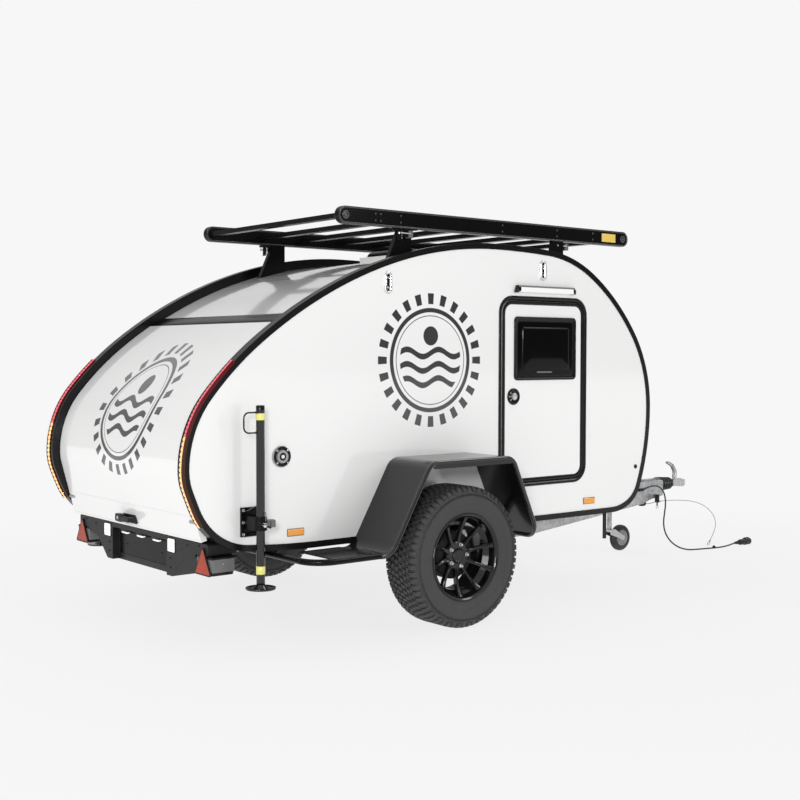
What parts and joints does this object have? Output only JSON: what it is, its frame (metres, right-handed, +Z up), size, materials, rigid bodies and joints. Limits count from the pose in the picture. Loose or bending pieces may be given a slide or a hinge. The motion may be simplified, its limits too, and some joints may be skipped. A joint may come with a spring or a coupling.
{
  "type": "teardrop trailer",
  "caption": "Small off-road teardrop camping trailer with rear hatch, side doors, roof rack, mudguards, steady legs, jockey wheel and ball coupling.",
  "frame": {"origin": "on the ground under the middle of the trailer without its cables", "axes": "+X forwards to the tow coupling, +Y to the trailer's left, +Z up"},
  "size_m": [4.794, 2.072, 2.0624],
  "materials": {
    "white_panel": "gloss white sandwich panel",
    "black_trim": "black trim",
    "black_metal": "black powder coat",
    "galvanised": "hot-dip galvanised",
    "chrome": "polished",
    "dark_acrylic": "dark acrylic",
    "lamp_lens": "white lens",
    "led": "red and amber lamps",
    "amber": "amber",
    "reflector_red": "red and grey",
    "tyre": "all-terrain rubber",
    "alloy_black": "gloss black alloy",
    "drum": "cast",
    "rubber": "black rubber",
    "plywood": "birch plywood",
    "fabric": "mattress cover",
    "vent_white": "white plastic",
    "zinc": "zinc plated"
  },
  "bodies": {
    "trailer": {"left_side_wall": "white_panel", "right_side_wall": "white_panel", "edge_rims": "black_trim", "roof_skin": "white_panel", "floor_panel": "black_trim", "hatch_hinge": "black_metal", "door_frames": "black_metal", "door_lights": "lamp_lens", "awning_eyes": "chrome", "side_reflectors": "amber", "mains_socket": "chrome", "led_strips": "led", "bulkhead": "plywood", "galley_cupboard": "plywood", "mattress": "fabric", "axle_beam": "galvanised", "chassis_rails": "galvanised", "cross_members": "galvanised", "tow_housing": "galvanised", "bellows": "rubber", "tow_head": "galvanised", "mudguards": "black_trim", "steps": "black_metal", "rear_bumper": "black_trim", "rear_lights": "reflector_red", "rack_feet": "black_metal", "roof_rack": "black_metal", "roof_vent": "vent_white", "vent_dome": "dark_acrylic", "leg_brackets": "black_metal", "jockey_clamp": "galvanised", "drain_pipe": "black_trim", "cable_brackets": "black_trim", "electric_cable": "rubber", "plug": "black_trim", "breakaway_cable": "rubber", "wire_clip": "zinc"},
    "left_wheel_set": {"left_tyre": "tyre", "left_wheel": "alloy_black", "left_hub": "drum"},
    "right_wheel_set": {"right_tyre": "tyre", "right_wheel": "alloy_black", "right_hub": "drum"},
    "left_door_leaf": {"left_door": "white_panel", "left_door_trim": "black_metal", "left_door_window": "dark_acrylic", "left_door_lock": "zinc"},
    "right_door_leaf": {"right_door": "white_panel", "right_door_trim": "black_metal", "right_door_window": "dark_acrylic", "right_door_lock": "zinc"},
    "hatch_lid": {"hatch": "white_panel", "hatch_handle": "black_trim"},
    "left_leg": {"left_rear_leg": "black_metal"},
    "right_leg": {"right_rear_leg": "black_metal"},
    "jockey_tube": {"jockey_stem": "galvanised"},
    "jockey_castor": {"jockey_fork": "zinc"},
    "jockey_roller": {"jockey_wheel": "rubber"},
    "coupling_lever": {"tow_handle": "zinc"}
  },
  "joints": [
    {"name": "left_wheel_spin", "type": "hinge", "parent": "trailer", "child": "left_wheel_set", "pos_m": [-0.7535, 0.8985, 0.35], "axis": [0, 1, 0], "continuous": true},
    {"name": "right_wheel_spin", "type": "hinge", "parent": "trailer", "child": "right_wheel_set", "pos_m": [-0.7535, -0.8985, 0.35], "axis": [0, 1, 0], "continuous": true},
    {"name": "left_door_hinge", "type": "hinge", "parent": "trailer", "child": "left_door_leaf", "pos_m": [0.365, 0.729, 1.1], "axis": [0, 0, -1], "range_deg": [0, 100]},
    {"name": "right_door_hinge", "type": "hinge", "parent": "trailer", "child": "right_door_leaf", "pos_m": [0.365, -0.729, 1.1], "axis": [0, 0, 1], "range_deg": [0, 100]},
    {"name": "hatch_hinge_turn", "type": "hinge", "parent": "trailer", "child": "hatch_lid", "pos_m": [-1.59066, 0, 1.49295], "axis": [0, 1, 0], "range_deg": [0, 85]},
    {"name": "left_leg_slide", "type": "slide", "parent": "trailer", "child": "left_leg", "axis": [0, 0, -1], "range_m": [0, 0.29]},
    {"name": "right_leg_slide", "type": "slide", "parent": "trailer", "child": "right_leg", "axis": [0, 0, -1], "range_m": [0, 0.29]},
    {"name": "jockey_slide", "type": "slide", "parent": "trailer", "child": "jockey_tube", "axis": [0, 0, 1], "range_m": [0, 0.16]},
    {"name": "jockey_swivel", "type": "hinge", "parent": "jockey_tube", "child": "jockey_castor", "pos_m": [1.5795, 0.15, 0.146], "axis": [0, 0, 1], "continuous": true},
    {"name": "jockey_spin", "type": "hinge", "parent": "jockey_castor", "child": "jockey_roller", "pos_m": [1.6875, 0.15, 0.088], "axis": [0, 1, 0], "continuous": true},
    {"name": "coupling_handle_hinge", "type": "hinge", "parent": "trailer", "child": "coupling_lever", "pos_m": [2.0865, 0, 0.473], "axis": [0, 1, 0], "range_deg": [0, 30]}
  ]
}
